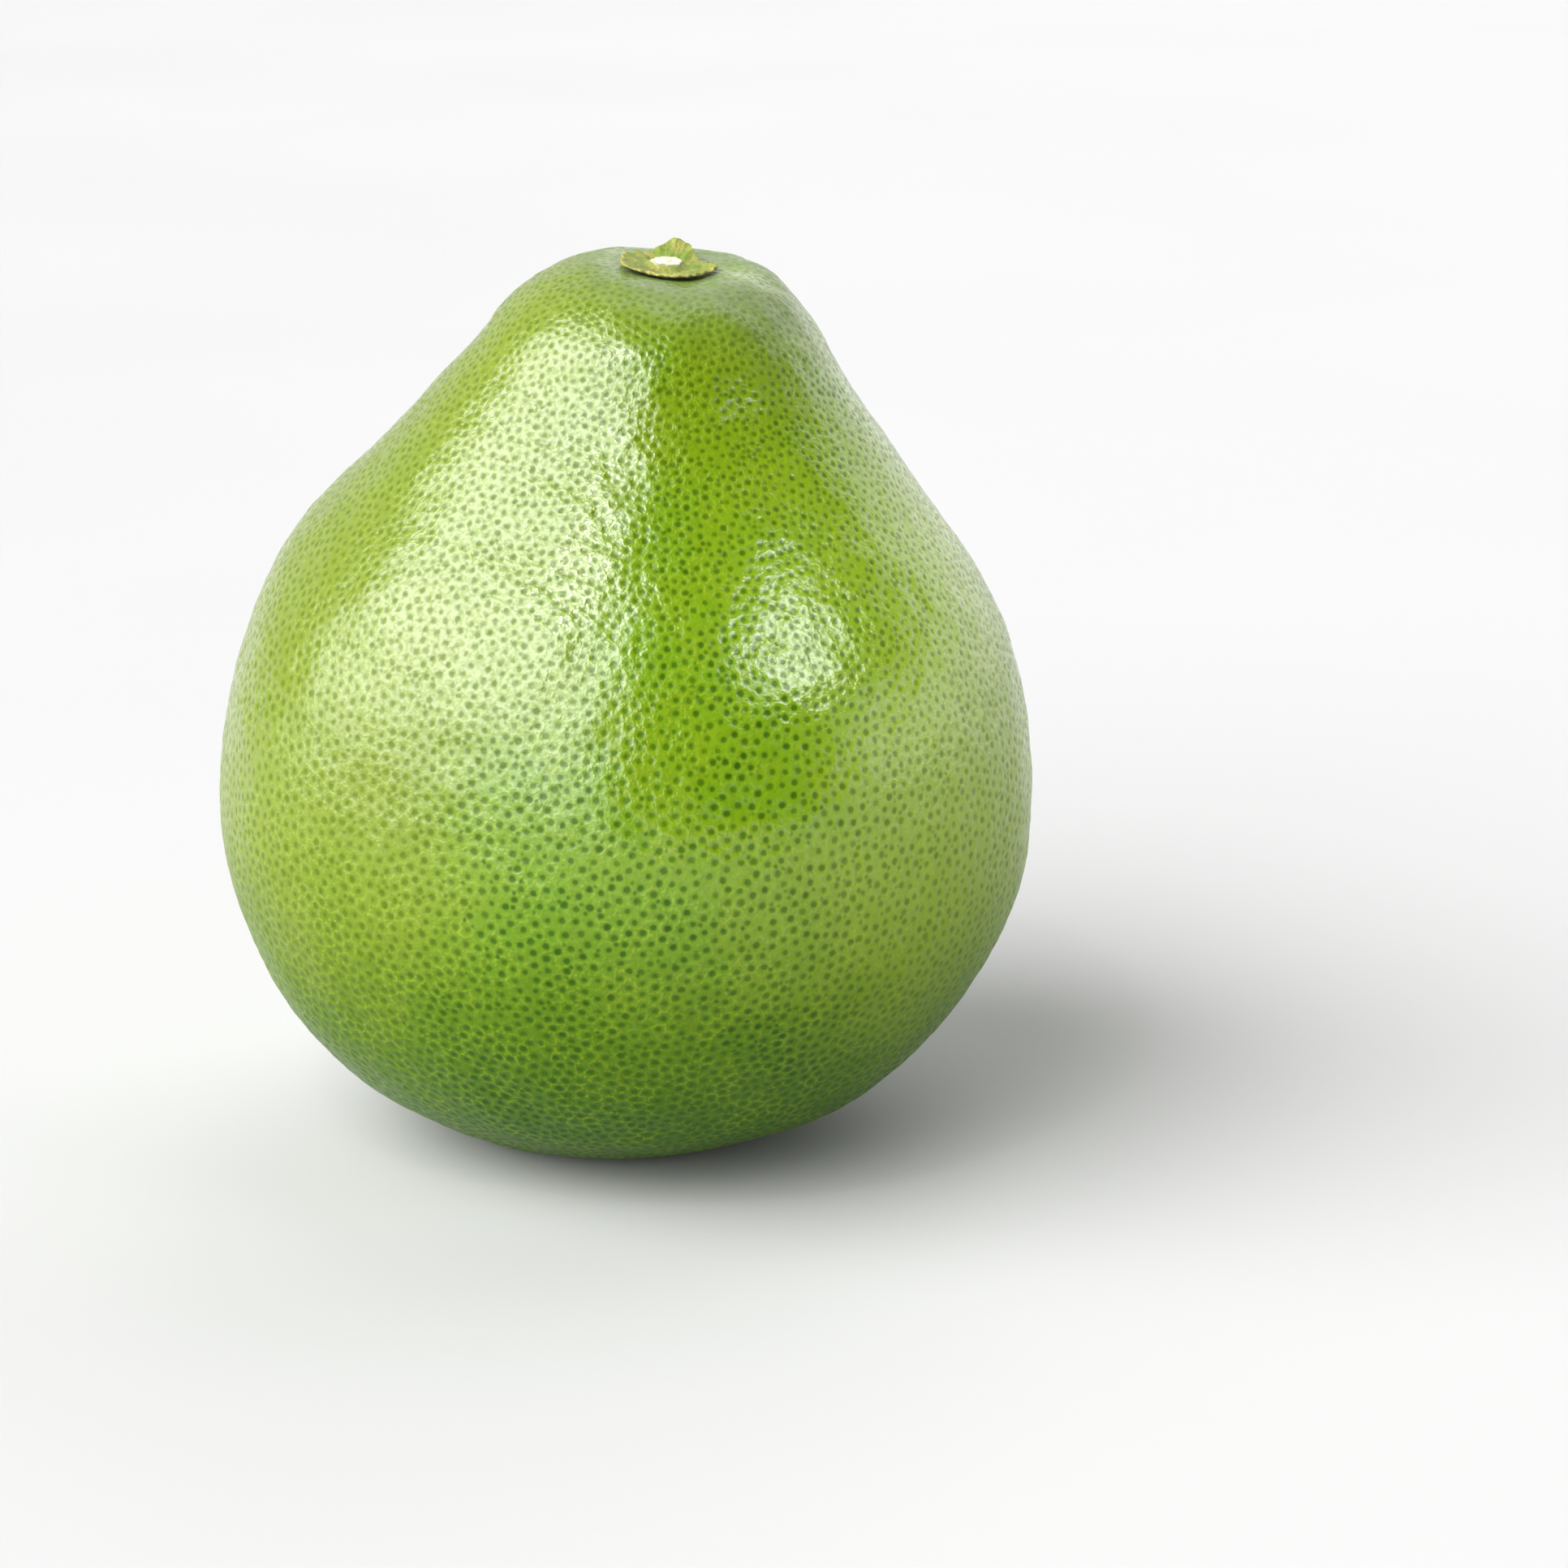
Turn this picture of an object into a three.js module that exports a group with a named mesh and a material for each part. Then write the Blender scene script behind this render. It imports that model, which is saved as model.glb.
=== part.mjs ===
// A whole green pomelo, standing on the flat spot at its blossom end.
// Millimetres, +Z up. The origin is the middle of the resting spot. The neck leans towards +X and -Y.
// Every piece is shaped upright, round the Z axis, and then leaned with the neck.
import * as THREE from "three";

// Driving dimensions of the fruit
const BELLY_RADIUS = 80;
const BODY_HEIGHT = 175.5;
const NECK_LEAN_X = 11.4;
const NECK_LEAN_Y = -12;
const LEAN_POWER = 1.5;

// Outline from the edge of the resting spot to the stem hollow, as shares of the belly radius and height
const OUTLINE = [
  [0.25, 0],
  [0.35, 0.005],
  [0.45, 0.019],
  [0.57, 0.048],
  [0.705, 0.091],
  [0.872, 0.193],
  [0.99, 0.341],
  [0.978, 0.5],
  [0.868, 0.648],
  [0.643, 0.784],
  [0.456, 0.888],
  [0.36, 0.951],
  [0.265, 0.986],
  [0.16, 1],
  [0, 0.989],
];

// Slow waves of the rind: times round the fruit, height in mm and phase in radians
const RIND_WAVES = [
  [2, 0.6, 0.4],
  [3, 0.7, 2.1],
  [5, 0.45, 0.9],
];
const SWELL_START = 0.02;
const SWELL_FULL = 0.2;
const SWELL_FADE = 0.82;
const SWELL_END = 0.99;

// Shallow hollow in the flank below the neck, on the -X side
const HOLLOW_DEPTH = 0.6;
const HOLLOW_LEVEL = 0.8;
const HOLLOW_SPREAD = 0.07;

// Low ridge of the crown beside the calyx, on the +X side
const RIDGE_HEIGHT = 1.3;
const RIDGE_RADIUS = 18;
const RIDGE_SPREAD = 8;
const RIDGE_LOWEST = 0.85;

// Calyx: a thin cap of five joined sepals, with the one at the back curled up
const SEPALS = [
  { angle: -5, reach: 9.4, lift: 0.4 },
  { angle: -70, reach: 9.8, lift: 0.5 },
  { angle: -148, reach: 9.5, lift: 0.6 },
  { angle: 150, reach: 8.8, lift: 0.4 },
  { angle: 75, reach: 8.8, lift: 2.8 },
];
const SEPAL_HALF_WIDTH = 30;
const CALYX_WEB_RADIUS = 6.8;
const CALYX_CENTRE_THICKNESS = 1.5;
const CALYX_EDGE_THICKNESS = 0.6;

// Cut end of the stalk, standing on the middle of the calyx
const STALK_RADIUS = 3;
const STALK_HEIGHT = 1.4;
const STALK_BEVEL = 0.35;

const GAP = 0.3;

// Fineness of the meshes
const BODY_RINGS = 46;
const BODY_SEGMENTS = 64;
const CALYX_RINGS = 7;
const CALYX_SEGMENTS = 60;
const STALK_SEGMENTS = 32;

// The outline as points along its length: x is the radius and y the height.
function bodyOutline() {
  const stations = OUTLINE.map(
    ([radius, height]) => new THREE.Vector3(radius * BELLY_RADIUS, height * BODY_HEIGHT, 0),
  );
  const curve = new THREE.CatmullRomCurve3(stations, false, "centripetal");
  return curve.getSpacedPoints(BODY_RINGS).map(({ x, y }) => new THREE.Vector2(Math.max(x, 0), y));
}

const outline = bodyOutline();

// How far the ridge lifts the crown at a place.
function ridgeLift(radius, angle) {
  const facing = Math.max(0, radius * Math.cos(angle)) / RIDGE_RADIUS;
  return RIDGE_HEIGHT * facing * Math.exp(-(((radius - RIDGE_RADIUS) / RIDGE_SPREAD) ** 2));
}

// Height of the rind round the stem, at a place round the fruit's axis.
function crownHeight(radius, angle) {
  const outer = outline.slice(0, -1).findLastIndex(({ x }) => x > radius);
  const from = outline[outer];
  const to = outline[outer + 1];
  return THREE.MathUtils.mapLinear(radius, from.x, to.x, from.y, to.y) + ridgeLift(radius, angle);
}

// How far the rind stands out from the plain round outline at a place.
function rindSwell(angle, share) {
  const rise = THREE.MathUtils.smoothstep(share, SWELL_START, SWELL_FULL);
  const fade = 1 - THREE.MathUtils.smoothstep(share, SWELL_FADE, SWELL_END);
  let waves = 0;
  for (const [times, height, phase] of RIND_WAVES) {
    waves += height * Math.cos(times * angle + phase);
  }
  const facing = Math.max(0, -Math.cos(angle)) ** 2;
  const level = Math.exp(-(((share - HOLLOW_LEVEL) / HOLLOW_SPREAD) ** 2));
  return (waves - HOLLOW_DEPTH * facing * level) * rise * fade;
}

// Carries a point of the upright fruit to its place on the leaning one.
function lean(point) {
  const share = Math.max(point.z, 0) / BODY_HEIGHT;
  const slope = (LEAN_POWER * share ** (LEAN_POWER - 1)) / BODY_HEIGHT;
  const along = new THREE.Vector3(NECK_LEAN_X * slope, NECK_LEAN_Y * slope, 1).normalize();
  const sideways = new THREE.Vector3(along.z, 0, -along.x).normalize();
  const across = new THREE.Vector3().crossVectors(along, sideways);
  return new THREE.Vector3(NECK_LEAN_X, NECK_LEAN_Y, 0)
    .multiplyScalar(share ** LEAN_POWER)
    .setZ(point.z)
    .addScaledVector(sideways, point.x)
    .addScaledVector(across, point.y);
}

// Spins a profile round the Z axis and moves each vertex to the place that the function gives it.
function spunAndPlaced(profile, segments, place) {
  const geometry = new THREE.LatheGeometry(profile, segments).rotateX(Math.PI / 2);
  const vertices = geometry.attributes.position;
  const vertex = new THREE.Vector3();
  for (let i = 0; i < vertices.count; i += 1) {
    vertex.fromBufferAttribute(vertices, i);
    const radius = Math.hypot(vertex.x, vertex.y);
    const angle = Math.atan2(vertex.y, vertex.x);
    vertices.setXYZ(i, ...lean(place(radius, angle, vertex.z)));
  }
  geometry.computeVertexNormals();
  return geometry;
}

function atPolar(radius, angle, height) {
  return new THREE.Vector3(radius * Math.cos(angle), radius * Math.sin(angle), height);
}

function fruitGeometry() {
  const profile = [new THREE.Vector2(0, 0), ...outline];
  return spunAndPlaced(profile, BODY_SEGMENTS, (radius, angle, height) => {
    const share = height / BODY_HEIGHT;
    const lift = share > RIDGE_LOWEST ? ridgeLift(radius, angle) : 0;
    return atPolar(radius + rindSwell(angle, share), angle, height + lift);
  });
}

// How strongly each sepal shapes the calyx in a direction, from 0 between sepals to 1 along its middle.
function sepalShare(sepal, angle) {
  const turn = angle - THREE.MathUtils.degToRad(sepal.angle);
  const offset = Math.atan2(Math.sin(turn), Math.cos(turn));
  return Math.exp(-((offset / THREE.MathUtils.degToRad(SEPAL_HALF_WIDTH)) ** 2));
}

// The profile runs in shares: x from the middle to the rim, y from 0 underneath to 1 on top.
function calyxGeometry() {
  const shares = Array.from({ length: CALYX_RINGS + 1 }, (_, i) => i / CALYX_RINGS);
  const underside = shares.map((share) => new THREE.Vector2(share, 0));
  const topside = shares.map((share) => new THREE.Vector2(share, 1)).reverse();
  return spunAndPlaced([...underside, ...topside], CALYX_SEGMENTS, (share, angle, side) => {
    let reach = CALYX_WEB_RADIUS;
    let lift = 0;
    for (const sepal of SEPALS) {
      const strength = sepalShare(sepal, angle);
      reach += (sepal.reach - CALYX_WEB_RADIUS) * strength;
      lift += sepal.lift * strength;
    }
    const radius = share * reach;
    const thickness = THREE.MathUtils.lerp(CALYX_CENTRE_THICKNESS, CALYX_EDGE_THICKNESS, share);
    const floor = crownHeight(radius, angle) + GAP + lift * share ** 3;
    return atPolar(radius, angle, floor + side * thickness);
  });
}

function stalkGeometry() {
  const foot = crownHeight(STALK_RADIUS, 0) + GAP + CALYX_CENTRE_THICKNESS + GAP;
  const top = foot + STALK_HEIGHT;
  const profile = [
    new THREE.Vector2(0, foot),
    new THREE.Vector2(STALK_RADIUS, foot),
    new THREE.Vector2(STALK_RADIUS, top - STALK_BEVEL),
    new THREE.Vector2(STALK_RADIUS - STALK_BEVEL, top),
    new THREE.Vector2(0, top),
  ];
  return spunAndPlaced(profile, STALK_SEGMENTS, atPolar);
}

function piece(name, geometry, color, roughness) {
  const material = new THREE.MeshStandardMaterial({ color, roughness, metalness: 0 });
  const mesh = new THREE.Mesh(geometry, material);
  mesh.name = name;
  return mesh;
}

const pomelo = new THREE.Group();
pomelo.add(piece("fruit", fruitGeometry(), "#86b30c", 0.42));
pomelo.add(piece("calyx", calyxGeometry(), "#98a43c", 0.7));
pomelo.add(piece("stem_stub", stalkGeometry(), "#f3efd2", 0.8));

export default pomelo;
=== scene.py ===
"""Looks of a whole green pomelo: rind with oil glands, dried calyx and cut stalk, on a pale studio floor.

Shapes are worked out in millimetres, upright round the Z axis, then leaned with the neck and scaled
to metres. The fruit's outline, waves, ridge and lean repeat the CAD part's.
"""

import math

import bpy
import numpy as np
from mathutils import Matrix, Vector, geometry, kdtree


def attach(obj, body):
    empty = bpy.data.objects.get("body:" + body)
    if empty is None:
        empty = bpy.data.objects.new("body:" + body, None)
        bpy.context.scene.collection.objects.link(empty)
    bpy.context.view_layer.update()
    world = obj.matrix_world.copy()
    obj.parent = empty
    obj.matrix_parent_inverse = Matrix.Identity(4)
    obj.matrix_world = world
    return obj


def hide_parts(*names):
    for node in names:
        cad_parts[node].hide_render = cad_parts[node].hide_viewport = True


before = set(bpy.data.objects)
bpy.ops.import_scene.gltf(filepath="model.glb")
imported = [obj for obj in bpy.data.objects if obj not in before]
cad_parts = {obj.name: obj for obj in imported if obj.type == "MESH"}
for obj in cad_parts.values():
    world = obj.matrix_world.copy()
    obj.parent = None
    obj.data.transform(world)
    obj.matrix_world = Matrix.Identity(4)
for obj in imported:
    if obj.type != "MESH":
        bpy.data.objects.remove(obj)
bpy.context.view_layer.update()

MM = 0.001
SEED = 20

# Fruit body, as in the CAD part
BELLY_RADIUS = 80.0
BODY_HEIGHT = 175.5
NECK_LEAN = np.array([11.4, -12.0])
LEAN_POWER = 1.5
OUTLINE = [
    (0.25, 0), (0.35, 0.005), (0.45, 0.019), (0.57, 0.048), (0.705, 0.091),
    (0.872, 0.193), (0.99, 0.341), (0.978, 0.5), (0.868, 0.648), (0.643, 0.784),
    (0.456, 0.888), (0.36, 0.951), (0.265, 0.986), (0.16, 1), (0, 0.989),
]
RIND_WAVES = [(2, 0.6, 0.4), (3, 0.7, 2.1), (5, 0.45, 0.9)]
SWELL_START, SWELL_FULL, SWELL_FADE, SWELL_END = 0.02, 0.2, 0.82, 0.99
HOLLOW_DEPTH, HOLLOW_LEVEL, HOLLOW_SPREAD = 0.6, 0.8, 0.07
RIDGE_HEIGHT, RIDGE_RADIUS, RIDGE_SPREAD, RIDGE_LOWEST = 1.3, 18.0, 8.0, 0.85
OUTLINE_STEPS = 200
POLE_RADIUS = 1e-4

# Oil glands: distance between neighbours in mm by share of the body height
PITCH_BY_SHARE = [(0.0, 2.5), (0.12, 2.8), (0.5, 2.85), (0.7, 2.45), (0.9, 2.2), (1.0, 2.1)]
PLACE_JITTER = 0.33
POLE_MARGIN = 0.8
SPREAD_ROUNDS, QUICK_SPREAD_ROUNDS = 8, 2
SMALL_GLAND_SHARE = 0.25

# Each pair is for 0 and 1 of a gland's random draw, its bigness or its tone
GLAND_BIGNESS = (0.50, 1.00)
PITCH_SHARE_BY_BIGNESS = (0.17, 0.33)
GLAND_TONE = (0.70, 0.95)
TONE_BY_BIGNESS = (0.65, 1.00)
SMALL_RADIUS_BY_TONE = (0.45, 0.75)
PIT_DEPTH = 0.15
SMALL_PIT_DEPTH = 0.03


def smoothstep(x, low, high):
    t = np.clip((x - low) / (high - low), 0.0, 1.0)
    return t * t * (3.0 - 2.0 * t)


def between(ends, share):
    return ends[0] + (ends[1] - ends[0]) * share


# ---------------------------------------------------------------- the fruit's surface

def catmull_rom(stations, steps):
    """A smooth centripetal curve through the stations, with the same ends as the CAD outline."""
    p = np.vstack([2 * stations[0] - stations[1], stations, 2 * stations[-1] - stations[-2]])
    t = np.linspace(0.0, 1.0, steps, endpoint=False)[:, None]
    pieces = []
    for a, b, c, d in zip(p[:-3], p[1:-2], p[2:-1], p[3:]):
        ab, bc, cd = (np.linalg.norm(v) ** 0.5 for v in (b - a, c - b, d - c))
        out = ((b - a) / ab - (c - a) / (ab + bc) + (c - b) / bc) * bc
        into = ((c - b) / bc - (d - b) / (bc + cd) + (d - c) / cd) * bc
        pieces.append(
            b + out * t + (3 * (c - b) - 2 * out - into) * t ** 2 + (2 * (b - c) + out + into) * t ** 3
        )
    return np.vstack([*pieces, stations[-1]])


class Outline:
    """The body's outline by length along it, with the measures that place points evenly on the rind."""

    def __init__(self):
        curve = catmull_rom(np.array(OUTLINE, float) * (BELLY_RADIUS, BODY_HEIGHT), OUTLINE_STEPS)
        spot = np.linspace(0.0, curve[0, 0], OUTLINE_STEPS, endpoint=False)
        points = np.vstack([np.stack([spot, 0 * spot], 1), curve])
        points[:, 0] = np.maximum(points[:, 0], 0.0)
        points[[0, -1], 0] = POLE_RADIUS
        steps = np.linalg.norm(np.diff(points, axis=0), axis=1)
        self.length = np.r_[0.0, np.cumsum(steps)]
        self.radius, self.height = points.T
        r0, r1 = self.radius[:-1], self.radius[1:]
        level = np.abs(r1 - r0) < 1e-9
        ratio = np.where(level, 1.0 / r0, np.log(r1 / r0) / np.where(level, 1.0, r1 - r0))
        # Conformal measure: equal steps of it and of the angle cover equal lengths on the rind.
        self.stretch = np.r_[0.0, np.cumsum(steps * ratio)]
        self.stretch -= np.interp(BELLY_RADIUS, self.length, self.stretch)
        area = np.r_[0.0, np.cumsum(math.pi * (r0 + r1) * steps)]
        self.area_share = area / area[-1]
        self.area = area[-1]

    def at(self, length):
        """The radius and height, in mm, at a length along the outline."""
        return np.interp(length, self.length, self.radius), np.interp(length, self.length, self.height)


outline = Outline()


def ridge_lift(radius, angle):
    facing = np.maximum(0.0, radius * np.cos(angle)) / RIDGE_RADIUS
    return RIDGE_HEIGHT * facing * np.exp(-(((radius - RIDGE_RADIUS) / RIDGE_SPREAD) ** 2))


def rind_swell(angle, share):
    rise = smoothstep(share, SWELL_START, SWELL_FULL)
    fade = 1.0 - smoothstep(share, SWELL_FADE, SWELL_END)
    waves = sum(height * np.cos(times * angle + phase) for times, height, phase in RIND_WAVES)
    facing = np.maximum(0.0, -np.cos(angle)) ** 2
    level = np.exp(-(((share - HOLLOW_LEVEL) / HOLLOW_SPREAD) ** 2))
    return (waves - HOLLOW_DEPTH * facing * level) * rise * fade


def lean(points):
    """Carries points of the upright fruit, one a row, to their places on the leaning one."""
    share = np.maximum(points[:, 2], 0.0) / BODY_HEIGHT
    slope = LEAN_POWER * share ** (LEAN_POWER - 1.0) / BODY_HEIGHT
    along = np.stack([NECK_LEAN[0] * slope, NECK_LEAN[1] * slope, np.ones_like(slope)], 1)
    along /= np.linalg.norm(along, axis=1)[:, None]
    sideways = np.stack([along[:, 2], 0 * slope, -along[:, 0]], 1)
    sideways /= np.linalg.norm(sideways, axis=1)[:, None]
    across = np.cross(along, sideways)
    centre = np.column_stack([NECK_LEAN * share[:, None] ** LEAN_POWER, points[:, 2]])
    return centre + points[:, :1] * sideways + points[:, 1:2] * across


def rind_point(angle, length):
    """The smooth rind, in mm, at an angle round the fruit and a length along its outline."""
    radius, height = outline.at(length)
    share = height / BODY_HEIGHT
    lift = np.where(share > RIDGE_LOWEST, ridge_lift(radius, angle), 0.0)
    radius = np.maximum(radius + rind_swell(angle, share), 0.0)
    upright = np.stack([radius * np.cos(angle), radius * np.sin(angle), height + lift], 1)
    return lean(upright)


def rind_normal(angle, length):
    """The way out of the smooth rind, from points a small step apart on it."""
    step = 0.4
    radius = np.maximum(outline.at(length)[0], step)
    turn = step / radius
    round_it = rind_point(angle + turn, length) - rind_point(angle - turn, length)
    up_it = rind_point(angle, length + step) - rind_point(angle, length - step)
    normal = np.cross(round_it, up_it)
    size = np.linalg.norm(normal, axis=1)
    normal[size < 1e-9] = (0.0, 0.0, 1.0)
    return normal / np.linalg.norm(normal, axis=1)[:, None]


# ---------------------------------------------------------------- oil glands

def gland_places(random):
    """Even but irregular places on the rind: angles, lengths along the outline and distances apart."""
    share = outline.height / BODY_HEIGHT
    pitch = np.interp(share, *np.array(PITCH_BY_SHARE).T)
    ring_area = np.diff(outline.area_share) * outline.area
    density = 1.0 / (math.sqrt(0.75) * pitch[1:] ** 2)
    count_so_far = np.r_[0.0, np.cumsum(ring_area * density)]
    count = int(count_so_far[-1])
    golden_turn = math.pi * (3.0 - math.sqrt(5.0))
    order = np.arange(count) + 0.5
    length = np.interp(order, count_so_far, outline.length)
    angle = np.mod(order * golden_turn, 2 * math.pi)
    reach = np.interp(length, outline.length, pitch)
    jitter = random.normal(0.0, PLACE_JITTER, (count, 2)) * reach[:, None]
    return move_on_rind(angle, length, jitter) + (reach,)


def move_on_rind(angle, length, move):
    """Moves places by mm round the fruit and along the outline, and keeps them on the rind."""
    radius = np.maximum(outline.at(length)[0], 1.0)
    turn = np.clip(move[:, 0] / radius, -1.0, 1.0)
    moved = np.clip(length + move[:, 1], POLE_MARGIN, outline.length[-1] - POLE_MARGIN)
    return np.mod(angle + turn, 2 * math.pi), moved


def spread_apart(angle, length, reach, rounds):
    """Pushes neighbouring places apart, a share of the way in each round."""
    neighbours, push_share, least_distance, step = 6, 0.25, 0.05, 0.1
    for _ in range(rounds):
        points = rind_point(angle, length)
        tree = kdtree.KDTree(len(points))
        for i, point in enumerate(points):
            tree.insert(point, i)
        tree.balance()
        near = np.array([[found[1] for found in tree.find_n(point, neighbours + 1)[1:]] for point in points])
        apart = points[:, None, :] - points[near]
        distance = np.maximum(np.linalg.norm(apart, axis=2), least_distance)
        crowding = np.maximum(0.0, 0.5 * (reach[:, None] + reach[near]) - distance)
        push = (apart / distance[..., None] * crowding[..., None]).sum(1) * push_share
        radius = np.maximum(outline.at(length)[0], 1.0)
        round_it = (rind_point(angle + step / radius, length) - points) / step
        up_it = (rind_point(angle, length + step) - points) / step
        move = np.stack([(push * round_it).sum(1), (push * up_it).sum(1)], 1)
        angle, length = move_on_rind(angle, length, move)
    return angle, length


def soft_lumps(points, size, seed, waves=36):
    """Smooth unevenness between about -1 and 1, with features of the given size in mm."""
    random = np.random.default_rng(seed)
    direction = random.normal(size=(waves, 3))
    direction /= np.linalg.norm(direction, axis=1)[:, None]
    frequency = 2 * math.pi / (size * random.uniform(0.7, 1.6, waves))
    phase = random.uniform(0, 2 * math.pi, waves)
    return np.sin(points @ (direction * frequency[:, None]).T + phase).sum(1) * math.sqrt(2.0 / waves) * 0.5


def layered_lumps(points, layers):
    """Layers of unevenness in mm, each with its height, its size and its seed."""
    return sum(height * soft_lumps(points, size, seed) for height, size, seed in layers)


def flat_places(angle, length):
    """Places as points of a plane that keeps angles, so that its triangles suit the rind too."""
    spread = np.exp(np.interp(length, outline.length, outline.stretch))
    return np.stack([spread * np.cos(angle), spread * np.sin(angle)], 1)


def rind_places(flat):
    """The opposite of flat_places."""
    spread = np.hypot(flat[:, 0], flat[:, 1])
    length = np.interp(np.log(np.maximum(spread, 1e-9)), outline.stretch, outline.length)
    return np.arctan2(flat[:, 1], flat[:, 0]), length


def triangles_between(flat):
    """Triangles that join points of the plane, as their numbers."""
    made = geometry.delaunay_2d_cdt([Vector(p) for p in flat], [], [], 0, 1e-9)
    if len(made[0]) != len(flat):
        raise RuntimeError("two glands share one place")
    back = np.array([ids[0] for ids in made[3]])
    return back[np.array(made[2])]


class RindGrid:
    """A vertex in each gland, half way to each neighbour, and in the middle of each three glands' cell.

    Each face has its gland in its first corner, so the faces round a gland are its own patch of rind.
    Some cells hold a small gland in their middle.
    """

    def __init__(self):
        random = np.random.default_rng(SEED)
        angle, length, reach = gland_places(random)
        rounds = SPREAD_ROUNDS
        angle, length = spread_apart(angle, length, reach, rounds)
        flat = flat_places(angle, length)
        cells = triangles_between(flat)
        self.glands = len(flat)
        self.reach = reach
        self.bigness = between(GLAND_BIGNESS, random.uniform(0.0, 1.0, self.glands))
        self.tone = random.uniform(0.0, 1.0, self.glands)
        self.small_tone = np.maximum(0.0, random.uniform(1.0 - 1.0 / SMALL_GLAND_SHARE, 1.0, len(cells)))
        edges = np.sort(cells[:, [[0, 1], [1, 2], [2, 0]]].reshape(-1, 2), axis=1)
        edges, edge_of = np.unique(edges, axis=0, return_inverse=True)
        edge_of = edge_of.reshape(-1, 3)
        self.centres = self.glands + len(edges)
        a, b, c = cells.T
        ab, bc, ca = (self.glands + edge_of).T
        middle = self.centres + np.arange(len(cells))
        halves = [(a, ab), (b, ab), (b, bc), (c, bc), (c, ca), (a, ca)]
        self.faces = np.concatenate([np.stack([gland, half, middle], 1) for gland, half in halves])
        flat = np.vstack([flat, flat[edges].mean(1), flat[cells].mean(1)])
        self.angle, self.length = rind_places(flat)
        uses = np.bincount(edge_of.ravel(), minlength=len(edges))
        open_edges = edges[uses == 1]
        open_middles = self.glands + np.flatnonzero(uses == 1)
        self.close_at_stem(open_edges, open_middles)
        self.points = rind_point(self.angle, self.length)
        self.normals = rind_normal(self.angle, self.length)
        self.turn_faces_out()

    def close_at_stem(self, open_edges, open_middles):
        """Fills the small hole left round the stem, under the calyx, with a fan."""
        stem = len(self.angle)
        self.angle = np.append(self.angle, 0.0)
        self.length = np.append(self.length, outline.length[-1])
        fan = [(end, middle, stem) for ends, middle in zip(open_edges, open_middles) for end in ends]
        self.faces = np.vstack([self.faces, fan])
        self.small_tone = np.append(self.small_tone, 0.0)

    def turn_faces_out(self):
        """Makes all faces look out of the fruit; each face's cell is noted first."""
        first, second, third = (self.points[self.faces[:, i]] for i in range(3))
        across = np.cross(second - first, third - first)
        inward = (across * self.normals[self.faces[:, 1]]).sum(1) < 0
        self.cell_middle = self.faces[:, 2].copy()
        self.faces[inward] = self.faces[inward][:, [0, 2, 1]]


# ---------------------------------------------------------------- meshes

BAKE_INSET = 0.98


def new_mesh_object(name, points, faces):
    """A smooth mesh object from points in mm."""
    mesh = bpy.data.meshes.new(name)
    mesh.from_pydata((points * MM).tolist(), [], faces)
    mesh.polygons.foreach_set("use_smooth", np.ones(len(mesh.polygons), bool))
    mesh.update()
    piece = bpy.data.objects.new(name, mesh)
    bpy.context.scene.collection.objects.link(piece)
    return piece


def add_attribute(piece, name, kind, domain, values):
    field = "vector" if kind == "FLOAT_VECTOR" else "value"
    made = piece.data.attributes.new(name, kind, domain)
    made.data.foreach_set(field, np.ascontiguousarray(values, np.float32).ravel())


def add_bake_map(piece, places):
    """The map that the colours are baked on: one place in the unit square for each corner."""
    uv = piece.data.uv_layers.new(name="OFBake")
    uv.data.foreach_set("uv", np.ascontiguousarray(places, np.float32).ravel())


def even_square_map(grid):
    """An equal-area map of the rind: the stem in the square's middle, the resting spot in its corners."""
    corners = grid.faces.ravel()
    angle = grid.angle[corners]
    level = 2.0 * np.interp(grid.length[corners], outline.length, outline.area_share) - 1.0
    quarter = 0.5 * math.pi
    turns = np.exp(1j * grid.angle[grid.faces]).sum(1)
    face_quarter = np.repeat(np.floor(np.mod(np.angle(turns), 2 * math.pi) / quarter), 3)
    own_quarter = np.floor(np.mod(angle, 2 * math.pi) / quarter)
    which = np.where(level < 0.0, face_quarter, own_quarter).astype(int) % 4
    off_middle = np.angle(np.exp(1j * (angle - (which + 0.5) * quarter)))
    share = 0.5 + np.clip(off_middle / quarter, -1.0, 1.0)
    reach = np.sqrt(np.maximum(1.0 - np.abs(level), 0.0))
    u = np.where(level < 0.0, 1.0 - reach * share, reach * (1.0 - share))
    v = np.where(level < 0.0, 1.0 - reach * (1.0 - share), reach * share)
    turned = [np.stack(pair) for pair in [(u, v), (-v, u), (-u, -v), (v, -u)]]
    return 0.5 + 0.5 * BAKE_INSET * np.choose(which, turned).T


def spun_mesh(name, profile, steps, place):
    """A closed mesh: a ring of vertices for each profile point, and a pole for the first and the last."""
    angle = np.linspace(0.0, 2 * math.pi, steps, endpoint=False)
    rings = [place(first, second, angle) for first, second in profile[1:-1]]
    poles = [place(*profile[i], angle[:1]) for i in (0, -1)]
    points = np.vstack([*rings, *poles])
    here = np.arange(steps)
    after = (here + 1) % steps
    faces = []
    for ring in range(len(rings) - 1):
        low, high = ring * steps, (ring + 1) * steps
        faces += np.stack([low + here, low + after, high + after, high + here], 1).tolist()
    start, end = len(rings) * steps, len(rings) * steps + 1
    top = (len(rings) - 1) * steps
    faces += [(start, int(b), int(a)) for a, b in zip(here, after)]
    faces += [(end, int(top + a), int(top + b)) for a, b in zip(here, after)]
    return new_mesh_object(name, points, faces)


# ---------------------------------------------------------------- the rind

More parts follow.
